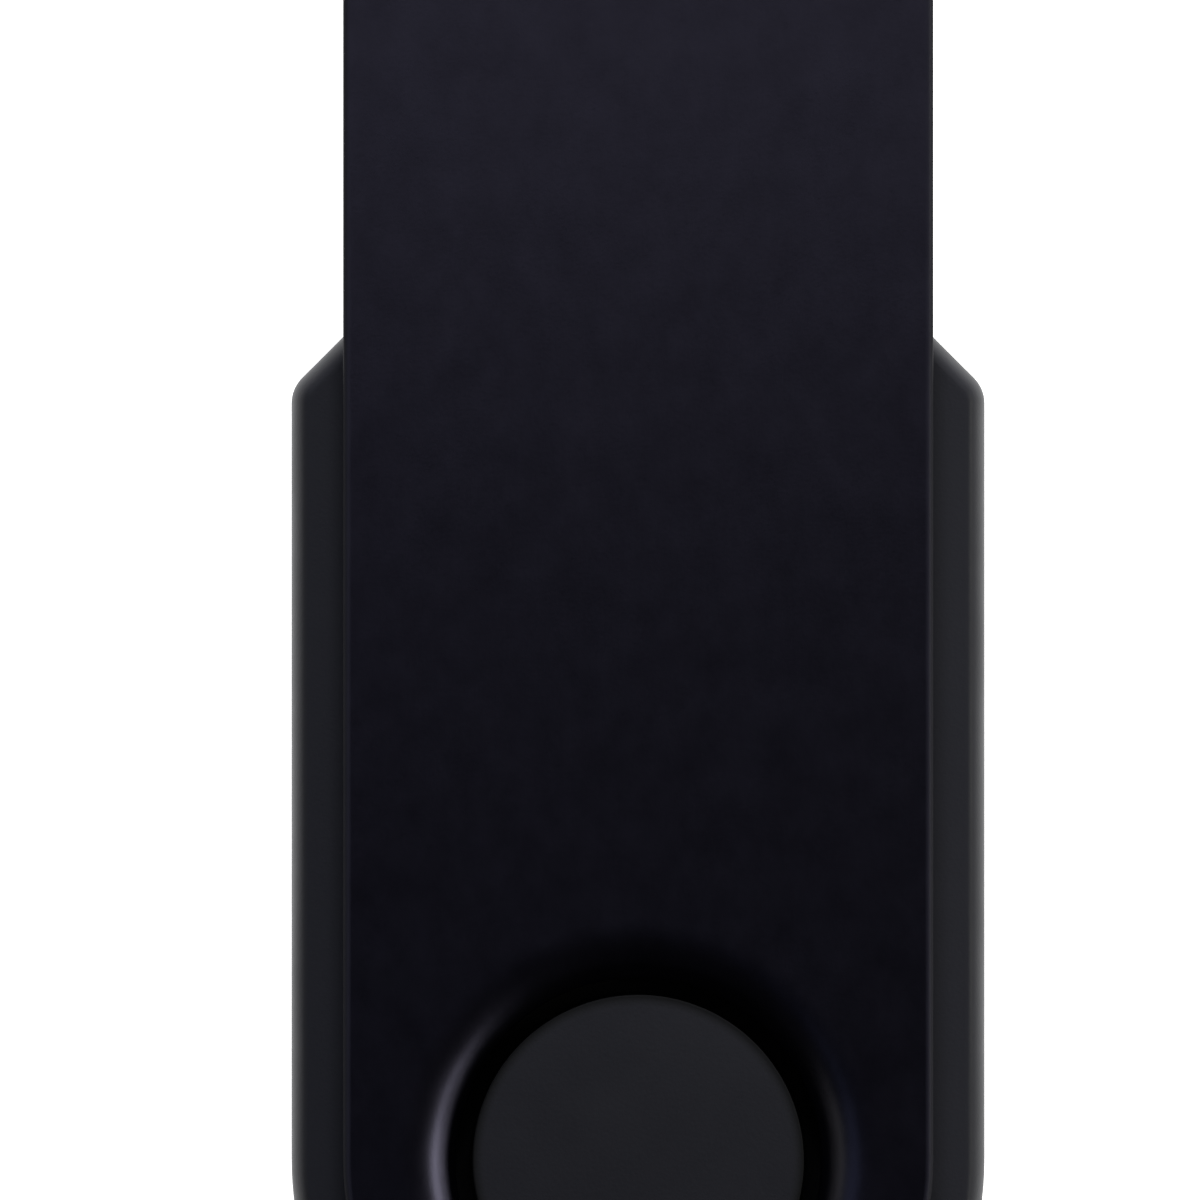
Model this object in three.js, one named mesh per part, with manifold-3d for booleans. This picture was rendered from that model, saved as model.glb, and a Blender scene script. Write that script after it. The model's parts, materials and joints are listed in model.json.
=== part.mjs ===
// A swivel USB flash drive: a folded sheet metal clip that turns on the two round bosses of a plastic
// body, with a type A plug, its circuit board and the parts on the board. Millimetres, +Z up.
// The drive lies flat with the plug towards +Y. It is modelled about the swivel axis and the parting
// plane of the body, and the last group moves it to stand on Z = 0, centred on X and Y.
import * as THREE from "three";
import { mergeVertices } from "three/addons/utils/BufferGeometryUtils.js";
import Module from "manifold-3d";

const wasm = await Module();
wasm.setup();

// ---------- driving dimensions ----------
const THICKNESS = 10.4; // over the two arms of the clip
const SHEET = 0.7; // the clip's sheet metal
const RUNNING_GAP = 0.1; // between an arm and the body
const CLIP_WIDTH = 16.1;
const CLIP_END = 43.8; // swivel axis to the outside of the fold
const FOLD_RADIUS = 2; // outside radius of each of the fold's two bends
const HOLE_RADIUS = 4.95; // the hole that turns on the boss
const DISH_DEPTH = 0.65; // how far the sheet dips around the hole
const DISH_SLOPE = Math.PI / 6;
const DISH_BEND = 1.3; // outside radius of the bend between the flat and the slope
const DISH_FLAT = 0.3; // flat that is turned with the dish

const BODY_WIDTH = 19;
const BODY_TOP = THICKNESS / 2 - SHEET - RUNNING_GAP; // half the body's thickness
const EDGE_IN = 0.5; // the shells' soft outer edges, across
const EDGE_DOWN = 1.2; // and down
const LOOP_EDGE = 0.6;
const SHOULDER_Y = 21.1; // where the 45 degree shoulder would meet the side
const SHOULDER_ROUND = 1;
const NECK_HALF = 7.6;
const NECK_CORNER = 0.95;
const NECK_END = 30.3;
const NECK_WALL = 1.5; // in front of the room behind the plug's mouth
const NECK_ROOM_HALF = 6.2;
const NECK_ROOM_HEIGHT = 2.4;
const BOSS_RADIUS = 4.7;
const BOSS_TOP = THICKNESS / 2 - 0.05;
const BOSS_CHAMFER = 0.45;
const BOSS_ROOT = 0.3; // how far the boss runs into the groove's floor
const GROOVE_RADIUS = 7.3; // the round groove that the dish turns in
const GROOVE_DEPTH = 0.75;

const LOOP_END = 14.5; // swivel axis to the end of the lanyard loop
const LOOP_HALF = 5;
const LOOP_THICKNESS = 4.4;
const LOOP_HOLE_HALF = 3;
const LOOP_HOLE_NEAR = 10.3;
const LOOP_HOLE_FAR = 12.9;
const LOOP_HOLE_CORNER = 1.2;
const LOOP_CORNER = 2.2;

const POCKET_DEPTH = 2.8; // parting plane to the inside of each face
const POCKET_HALF = 8;
const CHIP_ROOM_HALF = 6.9;
const PEG_X = 8.6;
const PEG_ROWS = [3, 16.5];
const PEG_RADIUS = 0.4;
const PEG_LENGTH = 1.2;
const RIB_X = 7.1; // ribs that hold the board down
const RIB_ROWS = [3, 15];
const RIB_HALF_WIDTH = 0.3;
const RIB_HALF_LENGTH = 1;
const PLUG_WIDTH = 12;
const PLUG_HEIGHT = 4.5;
const PLUG_WALL = 0.3;
const PLUG_CORNER = 0.6;
const PLUG_TIP = NECK_END + 12; // 12 mm of the plug stands out of the neck
const PLUG_BACK = PLUG_TIP - 18.7;
const WINDOW_X = 2.9; // middle of each latch window
const WINDOW_Y = PLUG_TIP - 6.4;
const WINDOW_HALF = 1.2;
const LEG_LENGTH = 3; // legs of the plug's shell beside the board
const LEG_TOP = -0.2;
const LEG_BOTTOM = -1.6;
const TONGUE_HALF = 5.6;
const TONGUE_TOP = -0.08;
const TONGUE_TIP = PLUG_TIP - 0.4;
const TONGUE_ROOT = 4.9; // back of the plug to where the tongue stands free
const CONTACT_TOP = -0.05;
const CONTACT_THICK = 0.15;
const CONTACT_WIDTH = 1;
const CONTACT_STEP = PLUG_BACK - 0.45; // where a contact steps down to the board

const BOARD_TOP = -0.5;
const BOARD_THICK = 0.8;
const BOARD_HALF = 7.6;
const BOARD_SHOULDER = 19.8; // where the board narrows to pass between the plug's legs
const BOARD_FRONT = 23.2;
const BOARD_TAB_HALF = 5.55;
const BOARD_TAIL = -6.8;
const BOARD_TAIL_HALF = 3.4;
const BOARD_SIDE_END = -0.6; // where the board's sides start to slant in to the tail
const BOARD_BOTTOM = BOARD_TOP - BOARD_THICK;
const FIT = 0.1; // clearance around the board and the plug

const ARC_STEPS = 8; // each arc of an outline has twice as many segments
const ROUND_STEPS = 40; // segments of a full turn

// ---------- helpers ----------
function solid(geometry) {
  const bare = (geometry.index ? geometry.toNonIndexed() : geometry).clone();
  bare.deleteAttribute("normal");
  bare.deleteAttribute("uv");
  const merged = mergeVertices(bare, 1e-4);
  return new wasm.Manifold(
    new wasm.Mesh({
      numProp: 3,
      vertProperties: merged.attributes.position.array,
      triVerts: new Uint32Array(merged.index.array),
    }),
  );
}

function geometryOf(made) {
  const mesh = made.getMesh();
  const geometry = new THREE.BufferGeometry();
  geometry.setAttribute("position", new THREE.BufferAttribute(mesh.vertProperties, 3));
  geometry.setIndex(new THREE.BufferAttribute(mesh.triVerts, 1));
  return geometry;
}

// A box from its lowest corner to its highest.
function block(x0, x1, y0, y1, z0, z1) {
  const geometry = new THREE.BoxGeometry(x1 - x0, y1 - y0, z1 - z0);
  geometry.translate((x0 + x1) / 2, (y0 + y1) / 2, (z0 + z1) / 2);
  return solid(geometry);
}

// A plan outline raised from z0 to z1.
function plate(shape, z0, z1, curveSegments = ARC_STEPS) {
  const options = { depth: z1 - z0, bevelEnabled: false, curveSegments };
  return solid(new THREE.ExtrudeGeometry(shape, options).translate(0, 0, z0));
}

// A plan outline raised from -half to half, its top and bottom edges rounded off by a quarter of an
// ellipse that reaches across the outline and down from its face.
function roundedPlate(shape, half, across, down) {
  const options = {
    depth: 2 * (half - down),
    curveSegments: ARC_STEPS,
    bevelThickness: down,
    bevelSize: across,
    bevelOffset: -across,
    bevelSegments: 3,
  };
  return solid(new THREE.ExtrudeGeometry(shape, options).translate(0, 0, down - half));
}

// A profile of [radius, z] points turned about the Z axis.
function turned(profile, steps = ROUND_STEPS) {
  const points = profile.map(([radius, z]) => new THREE.Vector2(radius, z));
  return solid(new THREE.LatheGeometry(points, steps).rotateX(Math.PI / 2));
}

function rod(radius, x, y, z0, z1, steps = 16) {
  const geometry = new THREE.CylinderGeometry(radius, radius, z1 - z0, steps);
  geometry.rotateX(Math.PI / 2).translate(x, y, (z0 + z1) / 2);
  return solid(geometry);
}

// A rectangle with round corners, centred on x and y.
function roundedRectangle(halfX, halfY, radius) {
  const shape = new THREE.Shape();
  shape.absarc(halfX - radius, halfY - radius, radius, 0, Math.PI / 2);
  shape.absarc(radius - halfX, halfY - radius, radius, Math.PI / 2, Math.PI);
  shape.absarc(radius - halfX, radius - halfY, radius, Math.PI, 1.5 * Math.PI);
  shape.absarc(halfX - radius, radius - halfY, radius, 1.5 * Math.PI, 2 * Math.PI);
  return shape;
}

const union = (parts) => parts.reduce((all, part) => all.add(part));
const without = (whole, cuts) => cuts.reduce((left, cut) => left.subtract(cut), whole);
const flip = (part) => part.mirror([0, 0, 1]);

// ---------- swivel clip ----------
// The sheet folded twice into a U, seen from the side as [y, z] and spread over the clip's width.
function foldedSheet() {
  const outer = THICKNESS / 2;
  const inner = outer - SHEET;
  const innerRadius = FOLD_RADIUS - SHEET;
  const bend = CLIP_END - FOLD_RADIUS;
  const start = -CLIP_WIDTH / 2;
  const side = new THREE.Shape();
  side.moveTo(start, -outer);
  side.lineTo(bend, -outer);
  side.absarc(bend, FOLD_RADIUS - outer, FOLD_RADIUS, -Math.PI / 2, 0);
  side.absarc(bend, outer - FOLD_RADIUS, FOLD_RADIUS, 0, Math.PI / 2);
  side.lineTo(start, outer);
  side.lineTo(start, inner);
  side.absarc(bend, outer - FOLD_RADIUS, innerRadius, Math.PI / 2, 0, true);
  side.absarc(bend, FOLD_RADIUS - outer, innerRadius, 0, -Math.PI / 2, true);
  side.lineTo(start, -inner);
  side.closePath();
  const options = { depth: CLIP_WIDTH, bevelEnabled: false, curveSegments: 6 };
  const geometry = new THREE.ExtrudeGeometry(side, options);
  geometry.translate(0, 0, -CLIP_WIDTH / 2);
  geometry.rotateX(Math.PI / 2).rotateZ(Math.PI / 2);
  return solid(geometry);
}

// The dish in section is a flat, a bend, a straight slope and the hole's wall.
const DISH_STRAIGHT = (DISH_DEPTH - DISH_BEND * (1 - Math.cos(DISH_SLOPE))) / Math.tan(DISH_SLOPE);
const DISH_RADIUS = HOLE_RADIUS + DISH_STRAIGHT + DISH_BEND * Math.sin(DISH_SLOPE);

function dishRing() {
  const outer = THICKNESS / 2;
  const bendSteps = 4;
  const top = [[DISH_RADIUS + DISH_FLAT, outer]];
  for (let i = 0; i <= bendSteps; i++) {
    const angle = (DISH_SLOPE * i) / bendSteps;
    const drop = DISH_BEND * (1 - Math.cos(angle));
    top.push([DISH_RADIUS - DISH_BEND * Math.sin(angle), outer - drop]);
  }
  top.push([HOLE_RADIUS, outer - DISH_DEPTH]);
  const under = top.map(([radius, z]) => [radius, z - SHEET]).reverse();
  return turned([...top, ...under, top[0]]);
}

function swivelClip() {
  const half = CLIP_WIDTH / 2;
  const outline = new THREE.Shape();
  outline.moveTo(half, 0);
  outline.lineTo(half, CLIP_END + 1);
  outline.lineTo(-half, CLIP_END + 1);
  outline.lineTo(-half, 0);
  outline.absarc(0, 0, half, Math.PI, 2 * Math.PI);
  const arms = foldedSheet().intersect(plate(outline, -THICKNESS, THICKNESS));
  const seat = rod(DISH_RADIUS + DISH_FLAT / 2, 0, 0, -THICKNESS, THICKNESS, ROUND_STEPS);
  const opened = arms.subtract(seat);
  const dish = dishRing();
  return opened.add(dish).add(flip(dish));
}

// ---------- body shells ----------
// The body seen from above: round tail about the swivel axis, 45 degree shoulders and a neck.
function bodyOutline() {
  const half = BODY_WIDTH / 2;
  const eighth = Math.PI / 4;
  const tangent = SHOULDER_ROUND * Math.tan(eighth / 2);
  const sideTop = SHOULDER_Y - tangent;
  const neckStart = SHOULDER_Y + half - NECK_HALF;
  const cornerX = NECK_HALF - NECK_CORNER;
  const cornerY = NECK_END - NECK_CORNER;
  const shape = new THREE.Shape();
  shape.absarc(half - SHOULDER_ROUND, sideTop, SHOULDER_ROUND, 0, eighth);
  shape.lineTo(NECK_HALF, neckStart);
  shape.absarc(cornerX, cornerY, NECK_CORNER, 0, Math.PI / 2);
  shape.absarc(-cornerX, cornerY, NECK_CORNER, Math.PI / 2, Math.PI);
  shape.lineTo(-NECK_HALF, neckStart);
  shape.absarc(SHOULDER_ROUND - half, sideTop, SHOULDER_ROUND, Math.PI - eighth, Math.PI);
  shape.absarc(0, 0, half, Math.PI, 2 * Math.PI);
  return shape;
}

function loopOutline() {
  const shape = new THREE.Shape();
  shape.moveTo(LOOP_HALF, -BODY_WIDTH / 4);
  shape.lineTo(-LOOP_HALF, -BODY_WIDTH / 4);
  const y = LOOP_CORNER - LOOP_END;
  shape.absarc(LOOP_CORNER - LOOP_HALF, y, LOOP_CORNER, Math.PI, 1.5 * Math.PI);
  shape.absarc(LOOP_HALF - LOOP_CORNER, y, LOOP_CORNER, 1.5 * Math.PI, 2 * Math.PI);
  return shape;
}

// Straight sides from the swivel axis forward, and a half circle about the axis behind it.
function pocketOutline(half, front) {
  const shape = new THREE.Shape();
  shape.moveTo(half, 0);
  shape.lineTo(half, front);
  shape.lineTo(-half, front);
  shape.absarc(0, 0, half, Math.PI, 2 * Math.PI);
  return shape;
}

function boss() {
  const root = BODY_TOP - GROOVE_DEPTH - BOSS_ROOT;
  const rounding = BOSS_CHAMFER * 0.3;
  return turned([
    [0, root],
    [BOSS_RADIUS, root],
    [BOSS_RADIUS, BOSS_TOP - BOSS_CHAMFER],
    [BOSS_RADIUS - rounding, BOSS_TOP - rounding],
    [BOSS_RADIUS - BOSS_CHAMFER, BOSS_TOP],
    [0, BOSS_TOP],
  ]);
}

// Both shells in one, before they are parted: outside, groove, boss, loop and the plug's way out.
function bodyBlank() {
  const outside = roundedPlate(bodyOutline(), BODY_TOP, EDGE_IN, EDGE_DOWN);
  const loop = roundedPlate(loopOutline(), LOOP_THICKNESS / 2, LOOP_EDGE, LOOP_EDGE);
  const holeHeight = (LOOP_HOLE_FAR - LOOP_HOLE_NEAR) / 2;
  const slot = roundedRectangle(LOOP_HOLE_HALF, holeHeight, LOOP_HOLE_CORNER);
  const hole = plate(slot, -THICKNESS, THICKNESS, 5);
  const floor = BODY_TOP - GROOVE_DEPTH;
  const groove = rod(GROOVE_RADIUS, 0, 0, floor, THICKNESS, ROUND_STEPS);
  const mouth = block(
    -PLUG_WIDTH / 2 - FIT / 2,
    PLUG_WIDTH / 2 + FIT / 2,
    PLUG_BACK,
    NECK_END + 1,
    -PLUG_HEIGHT / 2 - FIT / 2,
    PLUG_HEIGHT / 2 + FIT / 2,
  );
  const neckRoom = block(
    -NECK_ROOM_HALF,
    NECK_ROOM_HALF,
    BOARD_SHOULDER,
    NECK_END - NECK_WALL,
    -NECK_ROOM_HEIGHT,
    NECK_ROOM_HEIGHT,
  );
  const whole = outside.add(loop);
  const cut = without(whole, [
    hole.translate([0, -(LOOP_HOLE_NEAR + LOOP_HOLE_FAR) / 2, 0]),
    groove,
    flip(groove),
    mouth,
    neckRoom,
  ]);
  return cut.add(boss()).add(flip(boss()));
}

// All of the space on one side of the parting plane.
function halfSpace(side) {
  const below = block(-BODY_WIDTH, BODY_WIDTH, -CLIP_END, CLIP_END, -THICKNESS, 0);
  return side < 0 ? below : flip(below);
}

// One middle on each side of the drive for every row.
const inPairs = (x, rows) => rows.flatMap((y) => [-1, 1].map((side) => [side * x, y]));

// Pegs of the upper shell, and grown by a clearance their sockets in the lower one.
function pegs(clearance) {
  const radius = PEG_RADIUS + clearance;
  const depth = PEG_LENGTH + 2 * clearance;
  return union(inPairs(PEG_X, PEG_ROWS).map(([x, y]) => rod(radius, x, y, -depth, 0.5, 12)));
}

function upperShell() {
  const pocket = plate(pocketOutline(POCKET_HALF, BOARD_SHOULDER + FIT), -1, POCKET_DEPTH);
  const half = without(bodyBlank(), [halfSpace(-1), pocket]);
  const ribs = inPairs(RIB_X, RIB_ROWS).map(([x, y]) =>
    block(
      x - RIB_HALF_WIDTH,
      x + RIB_HALF_WIDTH,
      y - RIB_HALF_LENGTH,
      y + RIB_HALF_LENGTH,
      BOARD_TOP + 0.02,
      POCKET_DEPTH + 0.2,
    ),
  );
  return union([half, ...ribs, pegs(0)]);
}

function lowerShell() {
  const boardRoom = plate(pocketOutline(BOARD_HALF + FIT, BOARD_SHOULDER + FIT), BOARD_BOTTOM, 1);
  const chipRoom = plate(pocketOutline(CHIP_ROOM_HALF, BOARD_SHOULDER), -POCKET_DEPTH, 0);
  return without(bodyBlank(), [halfSpace(1), boardRoom, chipRoom, pegs(FIT)]);
}

// ---------- plug ----------
function plugShell() {
  const halfX = PLUG_WIDTH / 2;
  const halfZ = PLUG_HEIGHT / 2;
  const tube = roundedRectangle(halfX, halfZ, PLUG_CORNER);
  const innerCorner = PLUG_CORNER - 0.8 * PLUG_WALL;
  tube.holes.push(roundedRectangle(halfX - PLUG_WALL, halfZ - PLUG_WALL, innerCorner));
  const options = { depth: PLUG_TIP - PLUG_BACK, bevelEnabled: false, curveSegments: 4 };
  const geometry = new THREE.ExtrudeGeometry(tube, options);
  const outside = solid(geometry.rotateX(Math.PI / 2).translate(0, PLUG_TIP, 0));
  const windows = inPairs(WINDOW_X, [WINDOW_Y]).map(([x, y]) =>
    block(
      x - WINDOW_HALF,
      x + WINDOW_HALF,
      y - WINDOW_HALF,
      y + WINDOW_HALF,
      -PLUG_HEIGHT,
      PLUG_HEIGHT,
    ),
  );
  const half = PLUG_WALL / 2;
  const legs = inPairs(halfX - half, [PLUG_BACK]).map(([x, y]) =>
    block(x - half, x + half, y - LEG_LENGTH, y + 1, LEG_BOTTOM, LEG_TOP),
  );
  return union([without(outside, windows), ...legs]);
}

// [name, x, distance of the front end from the plug's tip]
const CONTACTS = [
  ["contact_power", 3.5, 1.3],
  ["contact_data_minus", 1, 2.3],
  ["contact_data_plus", -1, 2.3],
  ["contact_ground", -3.5, 1.3],
];

// A block that fills the back of the plug, with the contacts' tongue in front of it.
function plugInsulator() {
  const section = roundedRectangle(TONGUE_HALF, PLUG_HEIGHT / 2 - PLUG_WALL - 0.05, 0.4);
  const depth = TONGUE_TIP - PLUG_BACK + 0.2;
  const geometry = new THREE.ExtrudeGeometry(section, { depth, bevelEnabled: false, curveSegments: 4 });
  const whole = solid(geometry.rotateX(Math.PI / 2).translate(0, TONGUE_TIP, 0));
  const root = PLUG_BACK + TONGUE_ROOT;
  const cavity = block(-PLUG_WIDTH, PLUG_WIDTH, root, PLUG_TIP, TONGUE_TOP, PLUG_HEIGHT);
  const play = 0.03;
  const half = CONTACT_WIDTH / 2 + play;
  const floor = CONTACT_TOP - CONTACT_THICK;
  const slots = CONTACTS.map(([, x, back]) =>
    block(x - half, x + half, PLUG_BACK - 1, PLUG_TIP - back + play, floor, CONTACT_TOP + play),
  );
  return without(whole, [cavity, ...slots]);
}

// A strip along the tongue that steps down behind it to the board.
function contact(back) {
  const front = PLUG_TIP - back;
  const tail = BOARD_FRONT - 2.3;
  const low = CONTACT_TOP - CONTACT_THICK;
  const side = new THREE.Shape();
  side.moveTo(front, CONTACT_TOP);
  side.lineTo(CONTACT_STEP - CONTACT_THICK, CONTACT_TOP);
  side.lineTo(CONTACT_STEP - CONTACT_THICK, BOARD_TOP + CONTACT_THICK);
  side.lineTo(tail, BOARD_TOP + CONTACT_THICK);
  side.lineTo(tail, BOARD_TOP);
  side.lineTo(CONTACT_STEP, BOARD_TOP);
  side.lineTo(CONTACT_STEP, low);
  side.lineTo(front, low);
  side.closePath();
  const options = { depth: CONTACT_WIDTH, bevelEnabled: false };
  const geometry = new THREE.ExtrudeGeometry(side, options);
  geometry.translate(0, 0, -CONTACT_WIDTH / 2);
  return solid(geometry.rotateX(Math.PI / 2).rotateZ(Math.PI / 2));
}

// ---------- circuit board and the parts on it ----------
function circuitBoard() {
  const right = [
    [BOARD_TAIL_HALF, BOARD_TAIL],
    [BOARD_HALF, BOARD_SIDE_END],
    [BOARD_HALF, BOARD_SHOULDER],
    [BOARD_TAB_HALF, BOARD_SHOULDER],
    [BOARD_TAB_HALF, BOARD_FRONT],
  ];
  const left = right.map(([x, y]) => [-x, y]).reverse();
  const corners = [...right, ...left].map(([x, y]) => new THREE.Vector2(x, y));
  return plate(new THREE.Shape(corners), BOARD_BOTTOM, BOARD_TOP);
}

// A row of flat leads along X, each from inside the package out to a distance along Y.
function leadRow(count, pitch, width, inside, outside, height) {
  const leads = [];
  for (let i = 0; i < count; i++) {
    const x = (i - (count - 1) / 2) * pitch;
    leads.push(block(x - width / 2, x + width / 2, inside, outside, 0, height));
  }
  return union(leads);
}

// The memory in a thin package with 24 leads on each short end, seated on Z = 0.
function memoryChip() {
  const body = block(-6, 6, -9.2, 9.2, 0.05, 1.05);
  const row = leadRow(24, 0.5, 0.22, 9, 10, 0.15);
  return union([body, row, row.rotate([0, 0, 180])]);
}

// The controller in a square package with 12 leads on each side, seated on Z = 0.
function controllerChip() {
  const body = block(-3.5, 3.5, -3.5, 3.5, 0.05, 1.45);
  const row = leadRow(12, 0.5, 0.22, 3.3, 4.5, 0.15);
  return union([body, ...[0, 90, 180, 270].map((turn) => row.rotate([0, 0, turn]))]);
}

function crystal() {
  return union([block(-2.5, 2.5, -1.6, 1.6, 0, 0.7), block(-2.2, 2.2, -1.3, 1.3, 0.6, 1.1)]);
}

// A ceramic block between two metal ends, along Y.
function chipComponent(length, width, height) {
  const x = width / 2;
  const y = length / 2;
  const end = length * 0.2;
  const body = block(0.04 - x, x - 0.04, 0.1 - y, y - 0.1, 0, height - 0.04);
  return union([body, block(-x, x, -y, end - y, 0, height), block(-x, x, y - end, y, 0, height)]);
}

function activityLed() {
  const base = block(-1, 1, -0.6, 0.6, 0, 0.35);
  return base.add(block(-0.65, 0.65, -0.55, 0.55, 0.3, 0.8));
}

// ---------- materials ----------
function finish(colour, roughness, metalness = 0) {
  return new THREE.MeshStandardMaterial({ color: colour, roughness, metalness });
}
const PAINTED = finish(0x17161d, 0.4, 0.3);
const CASE_PLASTIC = finish(0x1f2024, 0.55);
const PLATED_STEEL = finish(0xb9bbbe, 0.25, 1);
const INSULATOR = finish(0x101012, 0.5);
const GOLD = finish(0xd9a94a, 0.25, 1);
const BOARD = finish(0x12492c, 0.45);
const EPOXY = finish(0x1a1a1b, 0.6);
const CERAMIC = finish(0x9a7b57, 0.5);
const RESISTOR_BLACK = finish(0x161616, 0.4);
const CRYSTAL_CAN = finish(0xc9c9c4, 0.3, 1);
const LED_RESIN = finish(0xe8e6d8, 0.3);

// ---------- assembly ----------
const drive = new THREE.Group();
drive.position.set(0, (LOOP_END - CLIP_END) / 2, THICKNESS / 2);

function place(name, made, material, x = 0, y = 0, z = 0, turn = 0, upsideDown = false) {
  const mesh = new THREE.Mesh(geometryOf(made), material);
  mesh.name = name;
  mesh.position.set(x, y, z);
  mesh.rotation.set(0, upsideDown ? Math.PI : 0, turn);
  drive.add(mesh);
}

place("swivel_clip", swivelClip(), PAINTED);
place("upper_shell", upperShell(), CASE_PLASTIC);
place("lower_shell", lowerShell(), CASE_PLASTIC);
place("plug_shell", plugShell(), PLATED_STEEL);
place("plug_insulator", plugInsulator(), INSULATOR);
for (const [name, x, back] of CONTACTS) place(name, contact(back), GOLD, x);
place("circuit_board", circuitBoard(), BOARD);
place("flash_memory_chip", memoryChip(), EPOXY, 0, 9.3, BOARD_BOTTOM, 0, true);
place("controller_chip", controllerChip(), EPOXY, 0, 12.6, BOARD_TOP);
place("crystal_oscillator", crystal(), CRYSTAL_CAN, -3.4, 4.8, BOARD_TOP);
place("activity_led", activityLed(), LED_RESIN, 0, -5.9, BOARD_TOP);

// Capacitors stand beside the controller, the crystal and the memory's supply: [x, y, turned 90].
const CAPACITOR_PLACES = [
  [5.9, 16.6, false],
  [5.9, 12.6, false],
  [5.9, 9, false],
  [-5.9, 16.6, false],
  [-5.9, 12.6, false],
  [-5.4, 7.6, true],
  [-1.4, 7.3, true],
  [3.4, -2.6, false],
];
CAPACITOR_PLACES.forEach(([x, y, across], i) => {
  const turn = across ? Math.PI / 2 : 0;
  place(`capacitor_${i + 1}`, chipComponent(1.6, 0.8, 0.8), CERAMIC, x, y, BOARD_TOP, turn);
});

// Two resistors in the data lines, one for the lamp and two pull-ups.
const RESISTOR_PLACES = [
  [1, 18.9],
  [-1, 18.9],
  [-1.8, -3],
  [2.2, 5.4],
  [3.9, 5.4],
];
RESISTOR_PLACES.forEach(([x, y], i) => {
  place(`resistor_${i + 1}`, chipComponent(1.6, 0.8, 0.5), RESISTOR_BLACK, x, y, BOARD_TOP);
});

const model = new THREE.Group();
model.add(drive);
export default model;
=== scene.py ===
"""The looks of a swivel USB flash drive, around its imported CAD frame, in metres in its axes."""

import json
import math

import bmesh
import bpy
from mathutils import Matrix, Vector


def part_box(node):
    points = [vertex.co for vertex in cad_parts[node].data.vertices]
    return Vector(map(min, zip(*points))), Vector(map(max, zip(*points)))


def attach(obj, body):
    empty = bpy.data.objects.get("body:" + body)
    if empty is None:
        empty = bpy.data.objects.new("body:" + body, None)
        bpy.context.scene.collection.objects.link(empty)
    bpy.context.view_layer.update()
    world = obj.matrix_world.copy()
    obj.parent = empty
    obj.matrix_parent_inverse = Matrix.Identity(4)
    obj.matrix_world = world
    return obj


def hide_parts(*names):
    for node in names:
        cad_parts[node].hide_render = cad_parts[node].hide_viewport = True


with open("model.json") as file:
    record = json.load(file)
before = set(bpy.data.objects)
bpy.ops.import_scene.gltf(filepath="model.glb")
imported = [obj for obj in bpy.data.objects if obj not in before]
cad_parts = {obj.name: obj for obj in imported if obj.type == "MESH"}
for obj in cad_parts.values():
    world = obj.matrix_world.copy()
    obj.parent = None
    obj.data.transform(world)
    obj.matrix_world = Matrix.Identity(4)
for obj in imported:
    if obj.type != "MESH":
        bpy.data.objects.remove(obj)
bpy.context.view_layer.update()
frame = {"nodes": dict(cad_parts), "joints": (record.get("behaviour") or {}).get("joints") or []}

# ---------- sizes, in millimetres unless they come from the frame ----------
MM = 0.001
PIVOT = Vector(frame["joints"][0]["pos_m"]) / MM
CLIP_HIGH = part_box("swivel_clip")[1] / MM
SHELL_LOW, SHELL_HIGH = (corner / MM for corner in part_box("upper_shell"))
PLUG_LOW, PLUG_HIGH = (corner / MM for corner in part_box("plug_shell"))

SHEET = 0.7
CLIP_HALF = CLIP_HIGH.x
HALF_THICKNESS = CLIP_HIGH.z - PIVOT.z
CLIP_END = CLIP_HIGH.y - PIVOT.y
FOLD_RADIUS = 2.0
RUNNING_GAP = 0.1
HOLE_RADIUS = 4.92
DISH_RADIUS = 6.75
RIM_TILT = math.radians(40)
HOLE_LAND = 0.22
CLIP_EDGE_ROUND = 0.16
EDGE_SUPPORT = 0.25

BODY_HALF = SHELL_HIGH.x
NECK_END = SHELL_HIGH.y - PIVOT.y
LOOP_END = PIVOT.y - SHELL_LOW.y
BODY_TOP = HALF_THICKNESS - SHEET - RUNNING_GAP
BODY_EDGE_IN = 0.45
BODY_EDGE_DOWN = 1.2
BODY_DRAFT = 0.06
SHOULDER_Y = 21.1
SHOULDER_ROUND = 1.0
NECK_HALF = 7.6
NECK_CORNER = 0.95
NECK_FILLET = 0.8
BOSS_RADIUS = 4.52
BOSS_TOP = SHELL_HIGH.z - PIVOT.z
BOSS_ROUND = 0.05
GROOVE_RADIUS = 7.3
GROOVE_DEPTH = 0.8
ROOT_RADIUS = 5.5
ROOT_DEPTH = 0.5
SEAM = 0.08

POCKET_HALF = 8
BOARD_POCKET_HALF = 7.7
CHIP_POCKET_HALF = 6.9
POCKET_DEPTH = 2.8
BOARD_SHOULDER = 19.9
BOARD_DEPTH = 1.3
NECK_ROOM_HALF = 6.2
NECK_ROOM_HEIGHT = 2.4
NECK_WALL = 1.5
CUT_OVERLAP = 0.1
LOOP_HALF = 5.0
LOOP_BASE = 6.6
LOOP_HALF_THICKNESS = 2.2
LOOP_HOLE_HALF = 3.0
LOOP_HOLE = (-12.9, -10.3)
LOOP_EDGE = 0.5
LOOP_FAR_CORNER = 2.2
LOOP_NEAR_CORNER = 0.4
LOOP_HOLE_CORNER = 1.2

PLUG_HALF = Vector((6.0, 2.25))
PLUG_TIP = PLUG_HIGH.y - PIVOT.y
PLUG_BACK = PLUG_TIP - 18.7
PLUG_WALL = 0.3
PLUG_CORNER = 0.6
WINDOW_CENTRE = Vector((2.9, PLUG_TIP - 6.4))
WINDOW_HALF = 1.2
WINDOW_CORNER = 0.25
DOVETAIL_Y = PLUG_TIP - 10.2
SLIT_HALF = 0.035
LEG_HEIGHTS = (-1.6, -0.2)


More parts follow.
